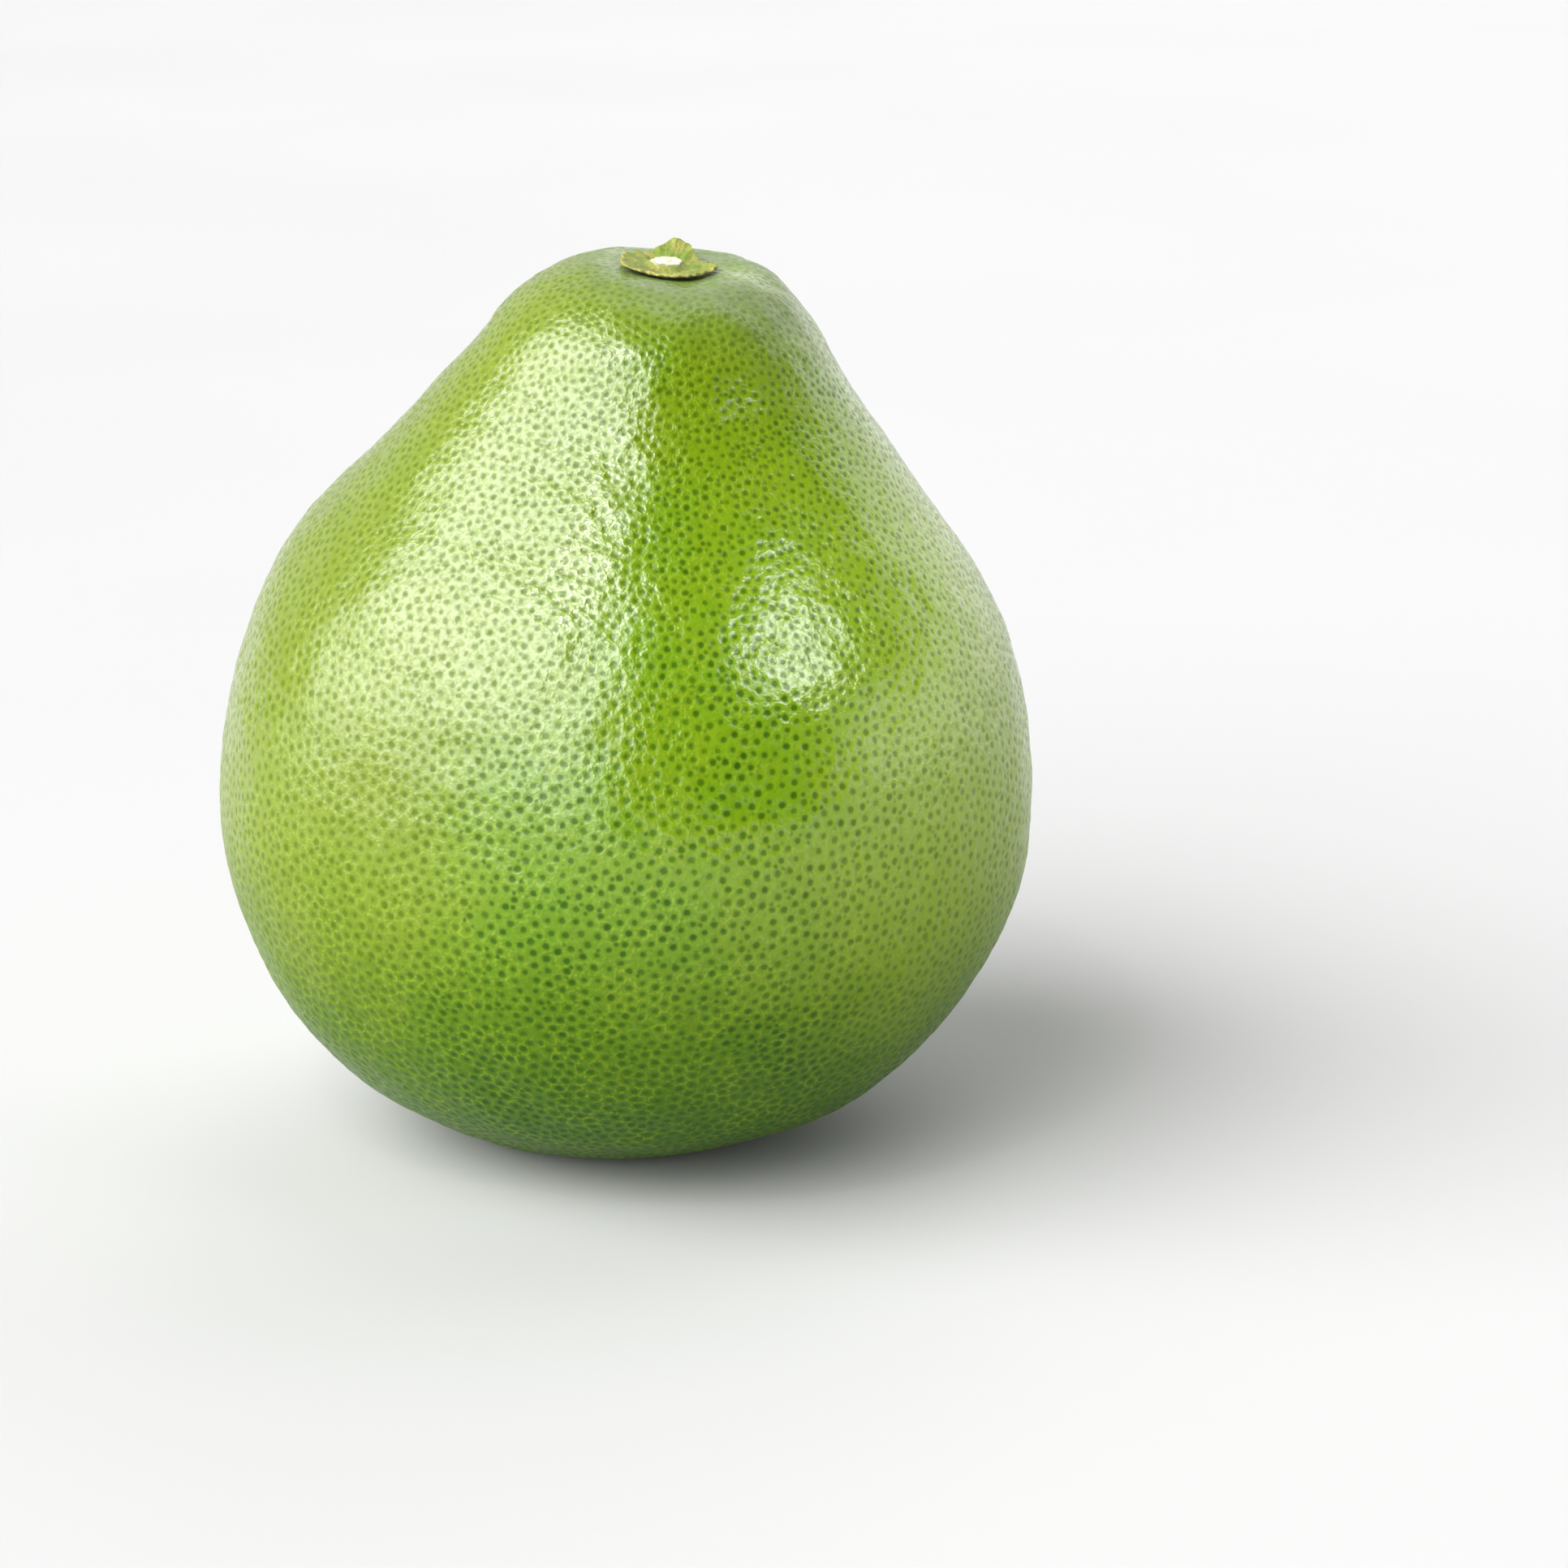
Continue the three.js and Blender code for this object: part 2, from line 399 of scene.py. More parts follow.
CROWN_INNER, CROWN_REACH, CROWN_SHIFT = 11.0, 31.0, 7.0
CROWN_PITS_LOST = 0.7
CALYX_CLEAR = (9.5, 14.0)
BLOSSOM_REACH = 13.0
BLOSSOM_DEPTH = 1.2
RESTING_REACH = (21.0, 46.0)
DENT_PLACE, DENT_REACH, DENT_DEPTH = (15.5, -2.5), 4.5, 0.6
DENT_CROWN_LOST = 0.9
# Layers of lumps: height in mm, size in mm and seed
LUMPS = [(0.34, 44.0, 3), (0.14, 14.0, 4), (0.09, 5.5, 5)]
CREASES = [(0.40, 10.0, 6), (0.12, 3.6, 7)]


class RindZones:
    """How far each vertex of the rind belongs to each special place, from 0 to 1."""

    def __init__(self, grid):
        radius, height = outline.at(grid.length)
        upper = height > 0.5 * BODY_HEIGHT
        across = np.stack([radius * np.cos(grid.angle), radius * np.sin(grid.angle)], 1)
        from_crown = radius - CROWN_SHIFT * np.cos(grid.angle)
        from_dent = np.linalg.norm(across - DENT_PLACE, axis=1)
        self.clear = np.where(upper, smoothstep(radius, *CALYX_CLEAR), 1.0)
        self.crown = np.where(upper, 1.0 - smoothstep(from_crown, CROWN_INNER, CROWN_REACH), 0.0)
        self.blossom = np.where(upper, 0.0, 1.0 - smoothstep(radius, 0.0, BLOSSOM_REACH))
        self.resting = np.where(upper, 0.0, 1.0 - smoothstep(radius, *RESTING_REACH))
        self.dent = np.exp(-((from_dent / DENT_REACH) ** 2)) * upper


def uneven_rind_points(grid, zones):
    """The grid's points with pits, lumps, creases, the dent and the hollow blossom end, above the floor."""
    pit = np.zeros(len(grid.angle))
    pit[:grid.glands] = PIT_DEPTH * grid.bigness
    pit[grid.centres:] = SMALL_PIT_DEPTH * grid.small_tone
    pit *= 1.0 - CROWN_PITS_LOST * zones.crown
    lumps = (1.0 - zones.resting) * layered_lumps(grid.points, LUMPS)
    creases = zones.crown * layered_lumps(grid.points, CREASES)
    out = zones.clear * (lumps + creases - DENT_DEPTH * zones.dent) - pit - BLOSSOM_DEPTH * zones.blossom
    points = grid.points + grid.normals * out[:, None]
    points[:, 2] = np.maximum(points[:, 2], 0.0)
    return points


def add_gland_attributes(piece, grid):
    """Where the corners of each face lie from its glands, in gland radii, and how marked the glands are."""
    gland = grid.faces[:, 0]
    small_tone = grid.small_tone[grid.cell_middle - grid.centres]
    radius = (grid.reach * between(PITCH_SHARE_BY_BIGNESS, grid.bigness))[gland]
    small_radius = between(SMALL_RADIUS_BY_TONE, small_tone)
    tone = between(GLAND_TONE, grid.tone) * between(TONE_BY_BIGNESS, grid.bigness)
    corners = grid.points[grid.faces]
    offset = (corners - grid.points[gland][:, None]) / radius[:, None, None]
    small_offset = (corners - grid.points[grid.cell_middle][:, None]) / small_radius[:, None, None]
    add_attribute(piece, "gland_offset", "FLOAT_VECTOR", "CORNER", offset)
    add_attribute(piece, "gland_tone", "FLOAT", "FACE", tone[gland])
    add_attribute(piece, "small_offset", "FLOAT_VECTOR", "CORNER", small_offset)
    add_attribute(piece, "small_tone", "FLOAT", "FACE", small_tone)


def rind_piece():
    grid = RindGrid()
    zones = RindZones(grid)
    piece = new_mesh_object("rind", uneven_rind_points(grid, zones), grid.faces.tolist())
    add_gland_attributes(piece, grid)
    add_attribute(piece, "border", "FLOAT", "POINT", np.arange(len(grid.angle)) >= grid.glands)
    add_attribute(piece, "crown", "FLOAT", "POINT", zones.crown * (1.0 - DENT_CROWN_LOST * zones.dent))
    add_attribute(piece, "blossom", "FLOAT", "POINT", zones.blossom)
    add_bake_map(piece, even_square_map(grid))
    return piece


# ---------------------------------------------------------------- calyx and stalk

CALYX_WEB_RADIUS = 6.8
# Sepals: middle in degrees, reach from the stalk's axis in mm and lift of the tip in mm
SEPALS = [(-5, 9.4, 0.4), (-70, 9.8, 0.5), (-148, 9.5, 0.6), (150, 8.8, 0.4), (75, 8.8, 2.8)]
SEPAL_HALF_WIDTH = math.radians(30)
CALYX_CENTRE_THICKNESS, CALYX_EDGE_THICKNESS = 1.5, 0.45
COLLAR_HEIGHT, COLLAR_REACH = 0.8, 4.6
LIP_HEIGHT = 0.18
LIP_WAVES = (7, 13, 19)
# Waves of the rim: depth in mm, numbers of waves a turn and seed
RIM_WAVES = [(0.22, (11, 17, 23, 31), 8), (0.08, (43, 61), 9)]
FOLD_HEIGHT, FOLD_WAVES = 0.12, (9, 14, 22)
WRINKLES = [(0.20, 3.2, 11), (0.10, 1.3, 12)]
GAP = 0.3
STALK_RADIUS = 3.0
STALK_HEIGHT = 1.4
STALK_SUNK = 0.3
STALK_WAVE_SHARE, STALK_WAVES = 0.09, (2, 3, 5, 8)
CUT_LUMPS = [(0.16, 2.4, 15), (0.07, 0.9, 16)]
CUT_FALL = 0.25
OFF_THE_CUT = 1.2
CALYX_STEPS = 220
STALK_STEPS = 96


def crown_height(radius, angle):
    """Height of the upright fruit's top surface, which falls away from the stem."""
    top = np.argmax(outline.radius)
    level = np.interp(radius, outline.radius[top:][::-1], outline.height[top:][::-1])
    return level + ridge_lift(radius, angle)


def round_waves(angle, times, seed):
    """Unevenness between about -1 and 1 round a piece, at whole numbers of waves a turn."""
    random = np.random.default_rng(seed)
    waves = [np.cos(count * angle + random.uniform(0, 2 * math.pi)) for count in times]
    return sum(waves) / math.sqrt(len(waves))


def calyx_place(share, side, angle):
    """share runs from the middle to the rim, side from 0 underneath to 1 on top."""
    reach = CALYX_WEB_RADIUS + 0 * angle
    lift = 0 * angle
    for middle, sepal_reach, sepal_lift in SEPALS:
        turn = angle - math.radians(middle)
        strength = np.exp(-((np.arctan2(np.sin(turn), np.cos(turn)) / SEPAL_HALF_WIDTH) ** 2))
        reach += (sepal_reach - CALYX_WEB_RADIUS) * strength
        lift += sepal_lift * strength
    reach += sum(depth * round_waves(angle, times, seed) for depth, times, seed in RIM_WAVES)
    radius = share * reach
    inner = min(share, 1.0)
    thickness = between((CALYX_CENTRE_THICKNESS, CALYX_EDGE_THICKNESS), inner)
    lip = LIP_HEIGHT * smoothstep(inner, 0.78, 0.97) * (1.0 + 0.5 * round_waves(angle, LIP_WAVES, 10))
    lip += COLLAR_HEIGHT * (1.0 - smoothstep(radius, STALK_RADIUS, COLLAR_REACH))
    flat = np.stack([radius * np.cos(angle), radius * np.sin(angle), 0 * angle], 1)
    uneven = layered_lumps(flat, WRINKLES) + FOLD_HEIGHT * inner * round_waves(angle, FOLD_WAVES, 13)
    underside = crown_height(radius, angle) + GAP + lift * inner ** 3
    height = underside + side * (thickness + lip + uneven * smoothstep(inner, 0.35, 0.5))
    return lean(flat + np.stack([0 * angle, 0 * angle, height], 1))


def calyx_piece():
    under = [(share, 0.0) for share in np.linspace(0.0, 1.0, 14)]
    rim = [(1.015, 0.2), (1.025, 0.5), (1.015, 0.8)]
    top = [(share, 1.0) for share in np.linspace(1.0, 0.0, 44)]
    profile = under + rim + top
    piece = spun_mesh("dried_calyx", profile, CALYX_STEPS, calyx_place)
    shares = np.repeat([share for share, _ in profile[1:-1]], CALYX_STEPS)
    add_attribute(piece, "rim", "FLOAT", "POINT", np.r_[shares, 0.0, 0.0])
    return piece


def stalk_place(share, rise, angle):
    """share runs from the middle to the side, rise from 0 at the foot to 1 on top."""
    outer = STALK_RADIUS * (1.0 + STALK_WAVE_SHARE * round_waves(angle, STALK_WAVES, 14))
    radius = share * outer
    flat = np.stack([radius * np.cos(angle), radius * np.sin(angle), 0 * angle], 1)
    foot = crown_height(STALK_RADIUS, 0.0) + GAP + CALYX_CENTRE_THICKNESS - STALK_SUNK
    cut = layered_lumps(flat, CUT_LUMPS) - CUT_FALL * share ** 2
    height = foot + rise * (STALK_HEIGHT + cut)
    return lean(flat + np.stack([0 * angle, 0 * angle, height], 1))


def stalk_piece():
    foot = [(share, 0.0) for share in np.linspace(0.0, 1.04, 5)]
    side = [(1.06, 0.15), (1.03, 0.35), (1.0, 0.6), (0.985, 0.8), (0.96, 0.92), (0.92, 0.98)]
    cut = [(share, 1.0) for share in np.linspace(0.88, 0.0, 26)]
    profile = foot + side + cut
    piece = spun_mesh("stalk_scar", profile, STALK_STEPS, stalk_place)
    on_cut = [share if rise > 0.95 else OFF_THE_CUT for share, rise in profile[1:-1]]
    add_attribute(piece, "out", "FLOAT", "POINT", np.r_[np.repeat(on_cut, STALK_STEPS), OFF_THE_CUT, 0.0])
    return piece


# ---------------------------------------------------------------- materials

class Nodes:
    """Short names for the shader nodes that the materials are made of."""

    def __init__(self, tree):
        self.tree = tree
        self.tree.nodes.clear()

    def add(self, kind, inputs=(), **settings):
        node = self.tree.nodes.new(kind)
        for name, value in settings.items():
            setattr(node, name, value)
        for key, value in dict(inputs).items():
            if isinstance(value, bpy.types.NodeSocket):
                self.tree.links.new(value, node.inputs[key])
            else:
                node.inputs[key].default_value = value
        return node

    def attribute(self, name, output="Fac"):
        return self.add("ShaderNodeAttribute", attribute_name=name).outputs[output]

    def place(self):
        """The place on the piece, in mm."""
        coordinates = self.add("ShaderNodeTexCoord").outputs["Object"]
        return self.vector("SCALE", coordinates, scale=1.0 / MM)

    def vector(self, operation, first, second=None, scale=None):
        inputs = {0: first}
        if second is not None:
            inputs[1] = second
        if scale is not None:
            inputs["Scale"] = scale
        node = self.add("ShaderNodeVectorMath", inputs, operation=operation)
        return node.outputs["Value" if operation in ("LENGTH", "DOT_PRODUCT") else "Vector"]

    def math(self, operation, first, second=0.0, third=0.0):
        inputs = {0: first, 1: second, 2: third}
        return self.add("ShaderNodeMath", inputs, operation=operation).outputs[0]

    def lessened(self, value, where, share):
        """The value, less the given share of it as the second value goes from 0 to 1."""
        return self.math("MULTIPLY", value, self.math("MULTIPLY_ADD", where, -share, 1.0))

    def ramp(self, value, low, high, to_low=0.0, to_high=1.0):
        """A smooth step from to_low to to_high as the value goes from low to high."""
        inputs = {"Value": value, "From Min": low, "From Max": high, "To Min": to_low, "To Max": to_high}
        return self.add("ShaderNodeMapRange", inputs, interpolation_type="SMOOTHSTEP").outputs["Result"]

    def noise(self, place, size, detail, output="Fac"):
        """Noise with features of about the given size in mm."""
        inputs = {"Vector": place, "Scale": 1.0 / size, "Detail": detail}
        return self.add("ShaderNodeTexNoise", inputs).outputs[output]

    def mix(self, factor, first, second):
        node = self.add("ShaderNodeMix", {"Factor": factor}, data_type="RGBA")
        for socket, value in ((node.inputs[6], first), (node.inputs[7], second)):
            if isinstance(value, bpy.types.NodeSocket):
                self.tree.links.new(value, socket)
            else:
                socket.default_value = (*value, 1.0)
        return node.outputs[2]

    def bump(self, height, strength=1.0):
        """Bump from a height in mm."""
        inputs = {"Height": height, "Strength": strength, "Distance": MM}
        return self.add("ShaderNodeBump", inputs).outputs[0]


def new_material(name):
    material = bpy.data.materials.new(name)
    material.use_nodes = True
    return material, Nodes(material.node_tree)


def finish_material(nodes, settings):
    shader = nodes.add("ShaderNodeBsdfPrincipled", settings)
    nodes.add("ShaderNodeOutputMaterial", {"Surface": shader.outputs[0]})


LIME = (0.124, 0.262, 0.001)
LIME_LIGHT = (0.160, 0.272, 0.002)
# Yellower green for the side toward the window: partly a sun-tinted rind, partly painted light
LIME_SUN_AND_PAINTED_LIGHT = (0.172, 0.236, 0.004)
# Painted light: a lighter green for the right side, standing in for light from the right
LIME_PAINTED_LIGHT_RIGHT = (0.265, 0.405, 0.004)
# Paler green of the raised skin between glands, partly painted glints on the ridges
LIME_RIDGE_AND_PAINTED_GLINT = (0.260, 0.380, 0.006)
# Painted shade: a darker green towards the foot
LIME_PAINTED_SHADE = (0.042, 0.118, 0.001)
GLAND_GREEN = (0.017, 0.066, 0.000)
GLAND_PALE = (0.038, 0.106, 0.000)
# Paler glands on the side toward the window: partly sun-faded, partly painted light
GLAND_SUN_AND_PAINTED_LIGHT = (0.105, 0.165, 0.003)
CROWN_GREEN = (0.160, 0.222, 0.075)
SCAR_BROWN = (0.150, 0.105, 0.030)

# Noises: size in mm and detail
BROAD, PATCHES, CLUSTERS, SWELLS = (30.0, 3.0), (9.0, 2.0), (6.0, 1.0), (3.2, 1.0)
WOBBLE, GRAIN, SPECKS, FINE = (1.3, 1.0), (1.2, 1.0), (0.8, 2.0), (0.7, 3.0)

# Where the rind's zones begin and end, in mm; the broad noise makes their edges uneven
# The side toward the window, tinted partly as from the sun and partly as painted light
SUN_AND_LIGHT_FROM, SUN_AND_LIGHT_SIDE = (0.0, 0.0, 85.0), (-0.87, -0.20, 0.45)
SUN_AND_LIGHT_ZONE = (25.0, 75.0)
# The right side, where light is painted into the colour
PAINTED_LIGHT_RIGHT_ZONE = (28.0, 82.0)
# Where painted shade darkens the rind towards the foot
PAINTED_SHADE_ZONE = (24.0, 92.0)
DULL_ZONE = (50.0, 115.0)
UNEVEN_ACROSS, UNEVEN_UP = 30.0, 24.0
DULLEST = 0.92

# Where the glands' darkness and relief begin and end, in gland radii
GLAND_EDGE, SMALL_GLAND_EDGE, GLAND_SLOPE = (0.4, 1.1), (0.2, 1.0), (0.2, 1.3)
GLAND_WOBBLE = 0.45
SMALL_GLAND_DARKNESS = 0.85

# Shares that the crown, the right side painted lighter and the glands lose
CROWN_DARK_LOST, CROWN_RELIEF_LOST, CROWN_WAX_LOST = 0.72, 0.40, 0.65
PAINTED_LIGHT_RIGHT_DARK_LOST = 0.40
GLAND_WAX_LOST = 0.75

# Heights of the fine relief in mm
GLAND_RELIEF, SMALL_GLAND_RELIEF, RIDGE_RELIEF = 0.10, -0.06, 0.10
GRAIN_RELIEF, SWELL_RELIEF, FINE_RELIEF = 0.20, 0.36, 0.08
WAX_RELIEF_SHARE = 0.31


class RindPattern:
    """The values over the rind that its colour, relief and wax share."""

    def __init__(self, n):
        self.place = n.place()
        self.crown = n.attribute("crown")
        self.broad = n.noise(self.place, *BROAD)
        self.patches = n.noise(self.place, *PATCHES)
        self.fine = n.noise(self.place, *FINE)
        self.set_zones(n)
        self.set_glands(n)
        self.set_ridges(n)

    def set_zones(self, n):
        """The upper left toward the window, yellower partly as sun tint and partly as painted light; the
        right side painted lighter; painted shade towards the foot; and the dull lower part.
        """
        parts = n.add("ShaderNodeSeparateXYZ", {0: self.place}).outputs
        # Toward the window light: partly a sun-tinted side, partly painted light
        toward_sun_and_light = n.vector("DOT_PRODUCT", n.vector("SUBTRACT", self.place, SUN_AND_LIGHT_FROM), SUN_AND_LIGHT_SIDE)
        toward_sun_and_light = n.math("MULTIPLY_ADD", self.broad, UNEVEN_ACROSS, toward_sun_and_light)
        toward_painted_light_right = n.math("MULTIPLY_ADD", self.broad, UNEVEN_ACROSS, parts["X"])
        up = n.math("MULTIPLY_ADD", self.broad, UNEVEN_UP, parts["Z"])
        self.sun_and_painted_light = n.ramp(toward_sun_and_light, *SUN_AND_LIGHT_ZONE)
        # Painted light: the right side, made lighter in colour and with fainter glands
        self.right = n.ramp(toward_painted_light_right, *PAINTED_LIGHT_RIGHT_ZONE)
        # Painted shade towards the foot, by height
        self.low = n.ramp(up, *PAINTED_SHADE_ZONE, 1.0, 0.0)
        self.dull = n.ramp(up, *DULL_ZONE, DULLEST, 0.0)

    def set_glands(self, n):
        """How far a place is from its gland, and how dark the glands make it."""
        wobble = n.vector("SUBTRACT", n.noise(self.place, *WOBBLE, "Color"), (0.5, 0.5, 0.5))
        wobble = n.vector("SCALE", wobble, scale=GLAND_WOBBLE)
        self.away = n.vector("LENGTH", n.vector("ADD", n.attribute("gland_offset", "Vector"), wobble))
        away_small = n.vector("LENGTH", n.attribute("small_offset", "Vector"))
        small = n.ramp(away_small, *SMALL_GLAND_EDGE, 1.0, 0.0)
        self.small = n.math("MULTIPLY", small, n.attribute("small_tone"))
        dark = n.math("MULTIPLY", n.ramp(self.away, *GLAND_EDGE, 1.0, 0.0), n.attribute("gland_tone"))
        dark = n.math("MAXIMUM", dark, n.math("MULTIPLY", self.small, SMALL_GLAND_DARKNESS))
        dark = n.lessened(dark, self.crown, CROWN_DARK_LOST)
        # Glands are painted fainter on the right side, as part of its painted light
        self.dark = n.lessened(dark, self.right, PAINTED_LIGHT_RIGHT_DARK_LOST)

    def set_ridges(self, n):
        """The raised skin between glands, broken up by the noises; the colour makes it paler, partly with
        painted glints.
        """
        ridge = n.ramp(n.attribute("border"), 0.55, 1.0)
        ridge = n.math("MULTIPLY", ridge, n.ramp(self.fine, 0.35, 0.6, 0.2, 1.0))
        self.ridge = n.math("MULTIPLY", ridge, n.ramp(n.noise(self.place, *CLUSTERS), 0.35, 0.6, 0.35, 1.0))


def rind_colour(n, rind):
    light = n.math("MULTIPLY_ADD", rind.patches, 0.5, n.math("MULTIPLY", rind.broad, 0.8))
    ground = n.mix(n.ramp(light, 0.45, 0.85), LIME, LIME_LIGHT)
    # The side toward the window is made yellower, partly as sun tint and partly as painted light
    ground = n.mix(n.math("MULTIPLY", rind.sun_and_painted_light, 0.85), ground, LIME_SUN_AND_PAINTED_LIGHT)
    # Painted light: the right side is made a lighter green
    ground = n.mix(rind.right, ground, LIME_PAINTED_LIGHT_RIGHT)
    # Painted shade: a darker green towards the foot
    ground = n.mix(rind.low, ground, LIME_PAINTED_SHADE)
    # Paler ridges between glands: partly their own tone, partly painted glints
    ground = n.mix(n.math("MULTIPLY", rind.ridge, 0.5), ground, LIME_RIDGE_AND_PAINTED_GLINT)
    muted = n.math("MULTIPLY", rind.crown, n.ramp(rind.patches, 0.25, 0.7, 0.55, 0.95))
    ground = n.mix(muted, ground, CROWN_GREEN)
    gland = n.mix(n.ramp(rind.broad, 0.35, 0.65), GLAND_GREEN, GLAND_PALE)
    # There the glands are paler: partly sun-faded, partly painted light
    gland = n.mix(n.math("MULTIPLY", rind.sun_and_painted_light, 0.9), gland, GLAND_SUN_AND_PAINTED_LIGHT)
    colour = n.mix(rind.dark, ground, gland)
    scar = n.ramp(n.math("MULTIPLY_ADD", rind.patches, 0.5, n.attribute("blossom")), 0.85, 1.2)
    return n.mix(n.math("MULTIPLY", scar, 0.9), colour, SCAR_BROWN)


def rind_relief(n, rind):
    """Height in mm of the relief that is too fine for the mesh."""
    layers = [
        (n.ramp(rind.away, *GLAND_SLOPE), GLAND_RELIEF),
        (rind.small, SMALL_GLAND_RELIEF),
        (rind.ridge, RIDGE_RELIEF),
        (n.noise(rind.place, *GRAIN), GRAIN_RELIEF),
        (n.noise(rind.place, *SWELLS), SWELL_RELIEF),
        (rind.fine, FINE_RELIEF),
    ]
    height = 0.0
    for layer, depth in layers:
        height = n.math("MULTIPLY_ADD", layer, depth, height)
    return n.lessened(height, rind.crown, CROWN_RELIEF_LOST)


def rind_wax(n, rind):
    """How much shiny wax a place has: more on the ridges, less in glands, low down and on the crown."""
    wax = n.ramp(n.noise(rind.place, *SPECKS), 0.40, 0.60, 0.50, 0.95)
    wax = n.math("MULTIPLY_ADD", rind.ridge, 0.45, wax)
    wax = n.lessened(wax, rind.dark, GLAND_WAX_LOST)
    wax = n.lessened(wax, rind.dull, 1.0)
    wax = n.lessened(wax, rind.crown, CROWN_WAX_LOST)
    return n.math("MINIMUM", wax, 1.0)


def rind_material():
    material, n = new_material("pomelo_rind")
    rind = RindPattern(n)
    height = rind_relief(n, rind)
    roughness = n.math("MULTIPLY_ADD", rind.crown, 0.15, 0.24)
    finish_material(n, {
        "Base Color": rind_colour(n, rind),
        "Roughness": n.math("MULTIPLY_ADD", rind.fine, 0.12, roughness),
        "Normal": n.bump(height),
        "Coat Normal": n.bump(height, WAX_RELIEF_SHARE),
        "Specular IOR Level": 0.1,
        "Coat Weight": rind_wax(n, rind),
        "Coat Roughness": 0.17,
        "Coat IOR": 1.85,
    })
    return material


CALYX_OLIVE = (0.270, 0.300, 0.060)
CALYX_GREEN = (0.180, 0.280, 0.035)
CALYX_YELLOW = (0.500, 0.430, 0.130)
CALYX_BROWN = (0.430, 0.230, 0.055)


def calyx_material():
    material, n = new_material("pomelo_calyx")
    place = n.place()
    rim = n.attribute("rim")
    patches = n.noise(place, 3.5, 3.0)
    fine = n.noise(place, 0.6, 4.0)
    colour = n.mix(n.ramp(patches, 0.4, 0.62), CALYX_OLIVE, CALYX_GREEN)
    colour = n.mix(n.ramp(n.noise(place, 2.2, 3.0), 0.52, 0.72, 0.0, 0.7), colour, CALYX_YELLOW)
    colour = n.mix(n.ramp(n.noise(place, 1.4, 4.0), 0.62, 0.75, 0.0, 0.75), colour, CALYX_BROWN)
    edge = n.ramp(n.math("MULTIPLY_ADD", patches, 0.14, rim), 1.04, 1.11)
    colour = n.mix(n.math("MULTIPLY", edge, 0.85), colour, CALYX_YELLOW)
    colour = n.mix(n.ramp(fine, 0.55, 0.8, 0.0, 0.35), colour, CALYX_BROWN)
    finish_material(n, {
        "Base Color": colour,
        "Roughness": n.math("MULTIPLY_ADD", fine, 0.3, 0.45),
        "Normal": n.bump(n.math("MULTIPLY_ADD", fine, 0.22, n.math("MULTIPLY", patches, 0.2))),
        "Specular IOR Level": 0.35,
    })
    return material


CUT_CREAM = (0.780, 0.730, 0.520)
CUT_PALE = (0.880, 0.850, 0.680)
CUT_EDGE = (0.300, 0.310, 0.120)


def stalk_material():
    material, n = new_material("cut_stalk")
    place = n.place()
    out = n.attribute("out")
    grain = n.noise(place, 0.35, 4.0)
    colour = n.mix(n.ramp(n.noise(place, 1.1, 3.0), 0.35, 0.65), CUT_CREAM, CUT_PALE)
    colour = n.mix(n.ramp(grain, 0.55, 0.8, 0.0, 0.5), colour, CUT_CREAM)
    colour = n.mix(n.ramp(n.math("MULTIPLY_ADD", grain, 0.25, out), 0.98, 1.3, 0.0, 0.7), colour, CUT_EDGE)
    finish_material(n, {
        "Base Color": colour,
        "Roughness": n.math("MULTIPLY_ADD", grain, 0.25, 0.6),
        "Normal": n.bump(n.math("MULTIPLY", grain, 0.25)),
        "Specular IOR Level": 0.3,
    })
    return material


# ---------------------------------------------------------------- the studio

FLOOR_RADIUS = 9.0
CAMERA_ELEVATION = math.radians(15.0)
CAMERA_DISTANCE = 0.869
CAMERA_LENS, CAMERA_SENSOR = 100.0, 36.0
SUBJECT = Vector((0.0003, 0.0, 0.0876))
AIM_RIGHT, AIM_DOWN = 0.0339, 0.0180
RIGHT_FRONT = Vector((0.031, -0.067, 0.114))
FLOOR_STEPS = 96
FLOOR_DARK, FLOOR_LIGHT = (0.60, 0.60, 0.60), (0.62, 0.62, 0.62)

# Light from the studio's walls, with the degrees over which each part begins and ends.
# Azimuths count to the camera's right from straight at the camera.
ROOM_LIGHT = 0.04
LEFT_WALL_LIGHT, LEFT_WALL_EDGE = 0.64, (-105.0, -140.0)
RIGHT_WALL_LIGHT, RIGHT_WALL_EDGE = 1.45, (98.0, 118.0)
WINDOW_LIGHT, WINDOW_FOOT_SHARE = 6.0, 0.45
WINDOW_LEFT, WINDOW_RIGHT = (-120.0, -86.0), (-24.0, -2.0)
WINDOW_FOOT, WINDOW_TOP = (0.0, 40.0), (50.0, 78.0)
STRIP_LIGHT = 1.8
STRIP_LEFT, STRIP_RIGHT, STRIP_TOP = (52.0, 74.0), (98.0, 118.0), (8.0, 24.0)


def add_camera():
    """The fruit stands left of and above the middle of the picture, so the camera aims beside it."""
    back = Vector((0.0, -math.cos(CAMERA_ELEVATION), math.sin(CAMERA_ELEVATION)))
    right = Vector((1.0, 0.0, 0.0))
    up = right.cross(-back)
    aim = SUBJECT + AIM_RIGHT * right - AIM_DOWN * up
    data = bpy.data.cameras.new("camera")
    data.lens = CAMERA_LENS
    data.sensor_width = CAMERA_SENSOR
    data.clip_end = 100.0
    camera = bpy.data.objects.new("camera", data)
    camera.location = SUBJECT + CAMERA_DISTANCE * back
    camera.rotation_euler = (aim - camera.location).to_track_quat("-Z", "Y").to_euler()
    bpy.context.scene.collection.objects.link(camera)
    bpy.context.scene.camera = camera


def toward(azimuth, elevation):
    """A direction by degrees to the camera's right of straight at the camera, and degrees up."""
    a, e = math.radians(azimuth), math.radians(elevation)
    return Vector((math.sin(a) * math.cos(e), -math.cos(a) * math.cos(e), math.sin(e)))


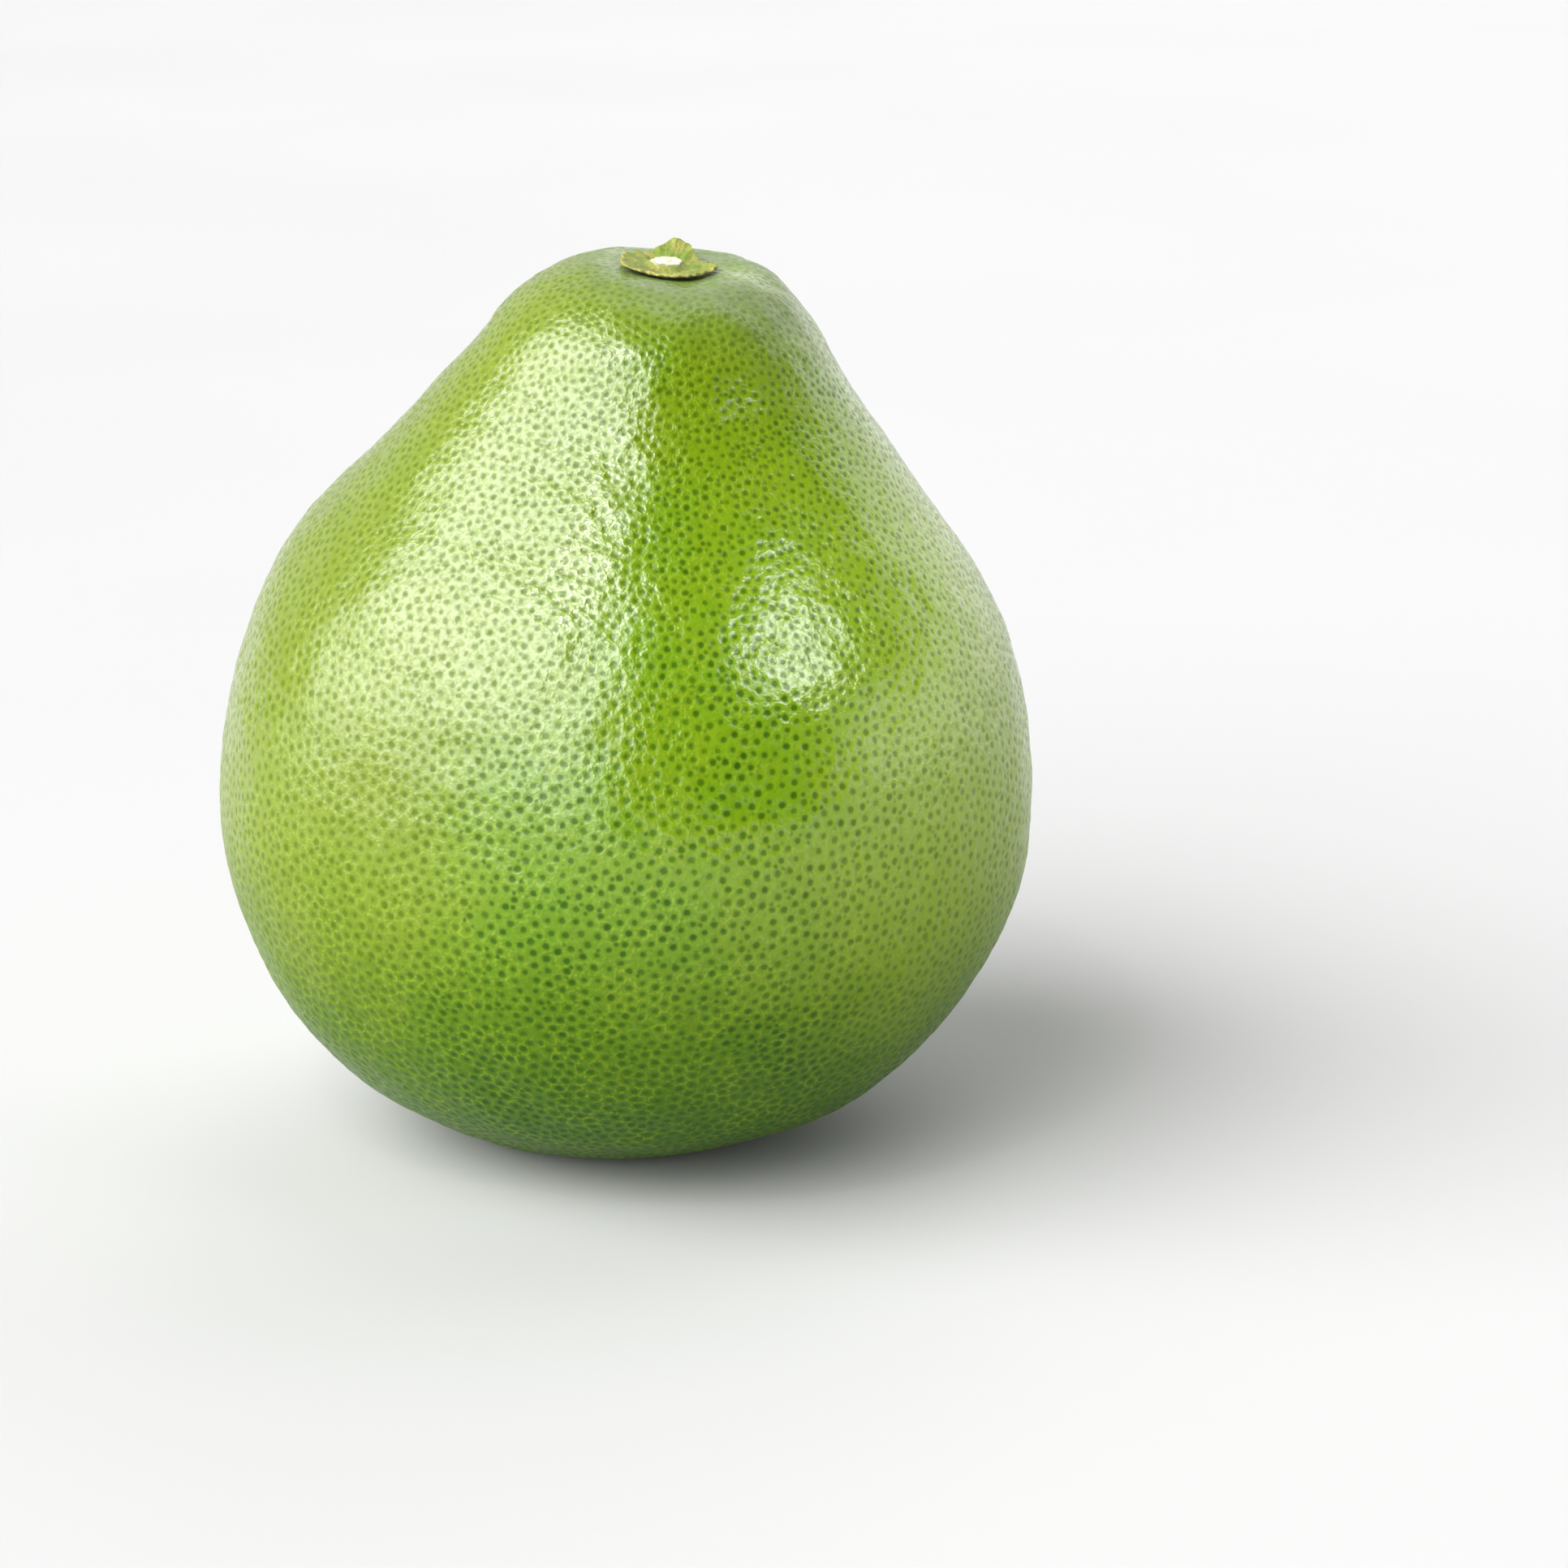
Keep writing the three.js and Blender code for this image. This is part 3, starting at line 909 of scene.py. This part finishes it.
def add_lamp(name, shines_on, azimuth, elevation, distance, half_width, half_height, radiance, beam=None):
    """An oval of light of the given radiance; its half sizes are degrees as seen from what it shines on.

    A beam in degrees narrows the light to that far from its middle direction.
    """
    data = bpy.data.lights.new(name, "AREA")
    data.shape = "ELLIPSE"
    data.size, data.size_y = (2.0 * distance * math.tan(math.radians(a)) for a in (half_width, half_height))
    data.energy = radiance * math.pi * math.pi * data.size * data.size_y / 4.0
    if beam:
        reach = math.radians(beam)
        data.spread = 2.0 * reach
        data.energy *= 1.0 - reach / math.tan(reach)
    light = bpy.data.objects.new(name, data)
    light.location = shines_on + distance * toward(azimuth, elevation)
    light.rotation_euler = (shines_on - light.location).to_track_quat("-Z", "Y").to_euler()
    light.visible_camera = False
    bpy.context.scene.collection.objects.link(light)


def add_world():
    """Walls behind, paler on the right, a wide window at the camera's left and a low strip at its right."""
    world = bpy.data.worlds.new("studio")
    world.use_nodes = True
    bpy.context.scene.world = world
    n = Nodes(world.node_tree)
    direction = n.add("ShaderNodeTexCoord").outputs["Generated"]
    parts = n.add("ShaderNodeSeparateXYZ", {0: direction})
    front = n.math("MULTIPLY", parts.outputs["Y"], -1.0)
    azimuth = n.math("DEGREES", n.math("ARCTAN2", parts.outputs["X"], front))
    elevation = n.math("DEGREES", n.math("ARCSINE", parts.outputs["Z"]))
    left_wall = n.ramp(azimuth, *LEFT_WALL_EDGE)
    right_wall = n.ramp(azimuth, *RIGHT_WALL_EDGE)
    window = n.math("MULTIPLY", n.ramp(azimuth, *WINDOW_LEFT), n.ramp(azimuth, *WINDOW_RIGHT, 1.0, 0.0))
    window = n.math("MULTIPLY", window, n.ramp(elevation, *WINDOW_TOP, 1.0, 0.0))
    window = n.math("MULTIPLY", window, n.ramp(elevation, *WINDOW_FOOT, WINDOW_FOOT_SHARE, 1.0))
    strip = n.math("MULTIPLY", n.ramp(azimuth, *STRIP_LEFT), n.ramp(azimuth, *STRIP_RIGHT, 1.0, 0.0))
    strip = n.math("MULTIPLY", strip, n.ramp(elevation, *STRIP_TOP, 1.0, 0.0))
    radiance = n.math("MULTIPLY_ADD", left_wall, LEFT_WALL_LIGHT, ROOM_LIGHT)
    radiance = n.math("MULTIPLY_ADD", right_wall, RIGHT_WALL_LIGHT, radiance)
    radiance = n.math("MULTIPLY_ADD", window, WINDOW_LIGHT, radiance)
    radiance = n.math("MULTIPLY_ADD", strip, STRIP_LIGHT, radiance)
    background = n.add("ShaderNodeBackground", {"Color": (1.0, 1.0, 1.0, 1.0), "Strength": radiance})
    n.add("ShaderNodeOutputWorld", {"Surface": background.outputs[0]})


def add_floor():
    turn = np.linspace(0.0, 2 * math.pi, FLOOR_STEPS, endpoint=False)
    rim = np.stack([np.cos(turn), np.sin(turn), 0 * turn], 1) * FLOOR_RADIUS / MM
    floor = new_mesh_object("floor", rim, [list(range(FLOOR_STEPS))])
    material, n = new_material("pale_floor")
    shade = n.ramp(n.noise(n.place(), 400.0, 2.0), 0.2, 0.8)
    finish_material(n, {
        "Base Color": n.mix(shade, FLOOR_DARK, FLOOR_LIGHT),
        "Roughness": 0.7,
        "Specular IOR Level": 0.2,
    })
    floor.data.materials.append(material)


# ---------------------------------------------------------------- putting it together

def dress(piece, material, node):
    piece.data.materials.append(material)
    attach(piece, "root")
    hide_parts(node)


add_camera()
add_world()
add_lamp(
    "small_lamp", SUBJECT, azimuth=-26.0, elevation=54.0, distance=1.6,
    half_width=1.3, half_height=1.3, radiance=80.0,
)
add_lamp(
    "fill_lamp", RIGHT_FRONT, azimuth=57.0, elevation=35.0, distance=0.13,
    half_width=23.0, half_height=13.0, radiance=9.0, beam=20.0,
)
add_floor()
dress(rind_piece(), rind_material(), "fruit")
dress(calyx_piece(), calyx_material(), "calyx")
dress(stalk_piece(), stalk_material(), "stem_stub")

bpy.context.scene.view_settings.view_transform = "Standard"
